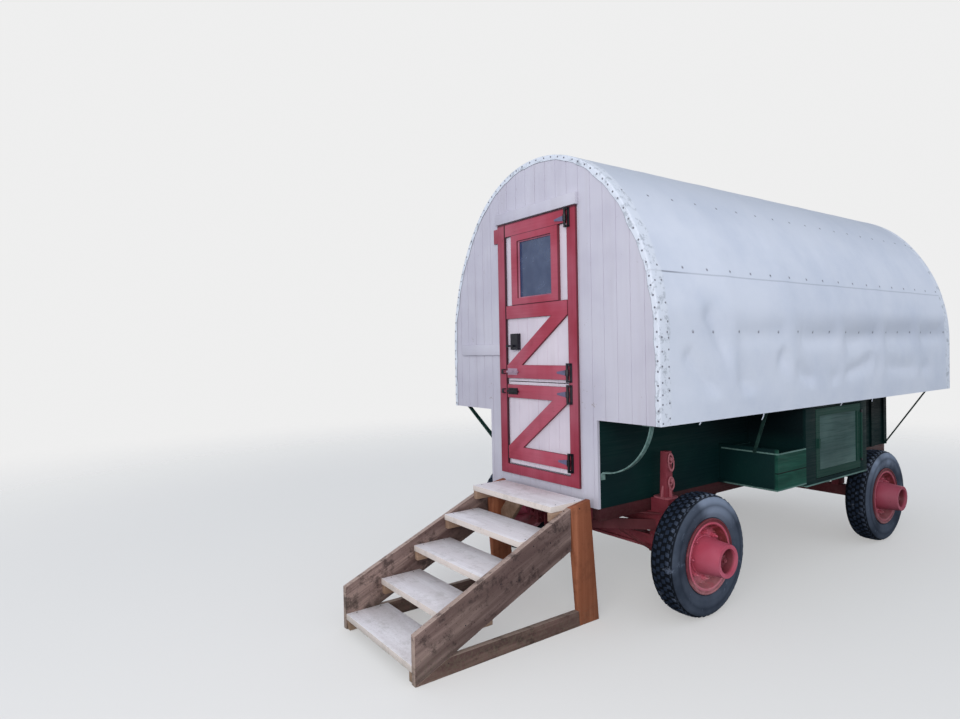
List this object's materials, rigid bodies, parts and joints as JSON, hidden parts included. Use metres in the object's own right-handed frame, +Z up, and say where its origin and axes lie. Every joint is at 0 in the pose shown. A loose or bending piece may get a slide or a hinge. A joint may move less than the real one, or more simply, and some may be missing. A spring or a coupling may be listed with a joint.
{
  "type": "sheep wagon",
  "caption": "Canvas-topped living wagon with a divided front door, overhanging sides, side boxes, a steered four-wheel running gear and wooden entrance steps.",
  "frame": {"origin": "on the ground, under the middle of the whole outline, steps included", "axes": "+Y from the door end to the rear, +Z up, +X to the right seen from the front door looking at it"},
  "size_m": [2.17, 5.61, 3],
  "materials": {
    "canvas": "matt woven cloth",
    "white_paint": "painted boards, satin",
    "red_paint": "painted boards, satin",
    "green_paint": "painted boards, satin",
    "grey_green_wood": "weathered, matt",
    "bare_wood": "oiled, satin",
    "grey_wood": "weathered, matt",
    "red_iron": "painted, satin",
    "dark_iron": "black, matt",
    "galvanised": "zinc coated",
    "glass": "clear",
    "rubber": "rubber, matt"
  },
  "bodies": {
    "wagon": {"floor": "grey_wood", "box_walls": "green_paint", "front_wall": "white_paint", "rear_wall": "white_paint", "rear_window_frame": "red_paint", "rear_window_glass": "glass", "overhang_deck": "green_paint", "bows": "bare_wood", "canopy": "canvas", "door_frame": "red_paint", "wall_trim": "white_paint", "hinge_plates": "dark_iron", "overhang_irons": "dark_iron", "side_box_right": "green_paint", "side_box_left": "green_paint", "bunk": "bare_wood", "sills": "red_paint", "joists": "red_paint", "front_bolster": "red_paint", "rear_bolster": "red_paint", "stake_rings": "galvanised", "reach": "red_paint", "front_axle": "red_iron", "rear_axle": "red_iron", "front_hounds": "red_iron", "step_stringers": "grey_wood", "step_treads": "grey_wood", "step_posts": "bare_wood", "step_rails": "grey_wood", "step_cleats": "grey_wood"},
    "lower_door": {"lower_leaf": "white_paint", "lower_ledges": "red_paint", "lower_hardware": "dark_iron"},
    "upper_door": {"upper_leaf": "white_paint", "upper_ledges": "red_paint", "upper_glass": "glass", "upper_hardware": "dark_iron"},
    "side_door_right": {"cabinet_door_right": "grey_green_wood"},
    "side_door_left": {"cabinet_door_left": "grey_green_wood"},
    "knuckle_left": {"knuckle_left": "red_iron"},
    "knuckle_right": {"knuckle_right": "red_iron"},
    "tie_rod": {"tie_rod": "red_iron"},
    "wheel_front_left": {"wheel_front_left": "red_iron", "tyre_front_left": "rubber"},
    "wheel_front_right": {"wheel_front_right": "red_iron", "tyre_front_right": "rubber"},
    "wheel_rear_left": {"wheel_rear_left": "red_iron", "tyre_rear_left": "rubber"},
    "wheel_rear_right": {"wheel_rear_right": "red_iron", "tyre_rear_right": "rubber"}
  },
  "joints": [
    {"name": "steer_left", "type": "hinge", "parent": "wagon", "child": "knuckle_left", "pos_m": [-0.66, -0.935, 0.382], "axis": [0, 0, 1], "range_deg": [-25, 25]},
    {"name": "steer_right", "type": "hinge", "parent": "wagon", "child": "knuckle_right", "pos_m": [0.66, -0.935, 0.382], "axis": [0, 0, 1], "range_deg": [-25, 25]},
    {"name": "tie_rod_pivot", "type": "hinge", "parent": "knuckle_left", "child": "tie_rod", "pos_m": [-0.66, -0.755, 0.347], "axis": [0, 0, 1], "range_deg": [-25, 25]},
    {"name": "front_left_spin", "type": "hinge", "parent": "knuckle_left", "child": "wheel_front_left", "pos_m": [-0.8765, -0.935, 0.382], "axis": [1, 0, 0], "continuous": true},
    {"name": "front_right_spin", "type": "hinge", "parent": "knuckle_right", "child": "wheel_front_right", "pos_m": [0.8765, -0.935, 0.382], "axis": [1, 0, 0], "continuous": true},
    {"name": "rear_left_spin", "type": "hinge", "parent": "wagon", "child": "wheel_rear_left", "pos_m": [-0.8765, 1.56, 0.382], "axis": [1, 0, 0], "continuous": true},
    {"name": "rear_right_spin", "type": "hinge", "parent": "wagon", "child": "wheel_rear_right", "pos_m": [0.8765, 1.56, 0.382], "axis": [1, 0, 0], "continuous": true},
    {"name": "lower_door_hinge", "type": "hinge", "parent": "wagon", "child": "lower_door", "pos_m": [0.323, -1.5175, 1.16], "axis": [0, 0, 1], "range_deg": [0, 165]},
    {"name": "upper_door_hinge", "type": "hinge", "parent": "wagon", "child": "upper_door", "pos_m": [0.323, -1.5175, 2.032], "axis": [0, 0, 1], "range_deg": [0, 165]},
    {"name": "side_door_right_hinge", "type": "hinge", "parent": "wagon", "child": "side_door_right", "pos_m": [1.0085, 1.0085, 0.959], "axis": [0, 0, 1], "range_deg": [0, 110]},
    {"name": "side_door_left_hinge", "type": "hinge", "parent": "wagon", "child": "side_door_left", "pos_m": [-1.0085, 1.0085, 0.959], "axis": [0, 0, -1], "range_deg": [0, 110]}
  ],
  "couplings": [
    {"joint": "steer_right", "follows": "steer_left", "ratio": 1},
    {"joint": "tie_rod_pivot", "follows": "steer_left", "ratio": -1}
  ]
}
